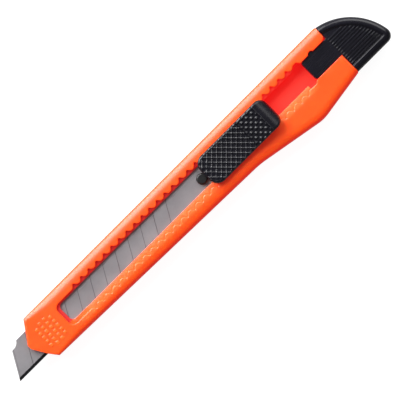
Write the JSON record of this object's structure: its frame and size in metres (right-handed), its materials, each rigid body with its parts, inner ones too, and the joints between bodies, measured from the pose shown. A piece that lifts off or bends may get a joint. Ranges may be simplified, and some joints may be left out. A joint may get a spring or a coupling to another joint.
{
  "type": "snap-off utility knife",
  "caption": "Snap-off utility knife: moulded casing with a toothed slot, knurled thumb slider carrying a scored blade, and a pull-off end cap.",
  "frame": {"origin": "under the middle of the knife's bounding box, on the face it rests on", "axes": "+X from the blade's tip to the end cap, +Y to the straight back edge, +Z out of the face with the slider"},
  "size_m": [0.1428, 0.02, 0.0106],
  "materials": {
    "casing_plastic": "satin moulded ABS, bright orange",
    "black_plastic": "moulded black ABS, satin",
    "carrier_plastic": "moulded black acetal",
    "spring_plastic": "natural acetal",
    "blade_steel": "ground carbon steel with scored lines"
  },
  "bodies": {
    "casing": {"casing": "casing_plastic"},
    "slider": {"thumb_pad": "black_plastic", "blade_carrier": "carrier_plastic", "click_spring": "spring_plastic", "blade_tail": "blade_steel", "blade_segment_01": "blade_steel", "blade_segment_02": "blade_steel", "blade_segment_03": "blade_steel", "blade_segment_04": "blade_steel", "blade_segment_05": "blade_steel", "blade_segment_06": "blade_steel", "blade_segment_07": "blade_steel", "blade_segment_08": "blade_steel", "blade_segment_09": "blade_steel", "blade_segment_10": "blade_steel", "blade_segment_11": "blade_steel", "blade_segment_12": "blade_steel"},
    "end_cap": {"end_cap": "black_plastic"}
  },
  "joints": [
    {"name": "blade_slide", "type": "slide", "parent": "casing", "child": "slider", "axis": [1, 0, 0], "range_m": [-0.051, 0.012], "deforming": ["click_spring"]},
    {"name": "cap_pull", "type": "slide", "parent": "casing", "child": "end_cap", "axis": [1, 0, 0], "range_m": [0, 0.045]}
  ]
}
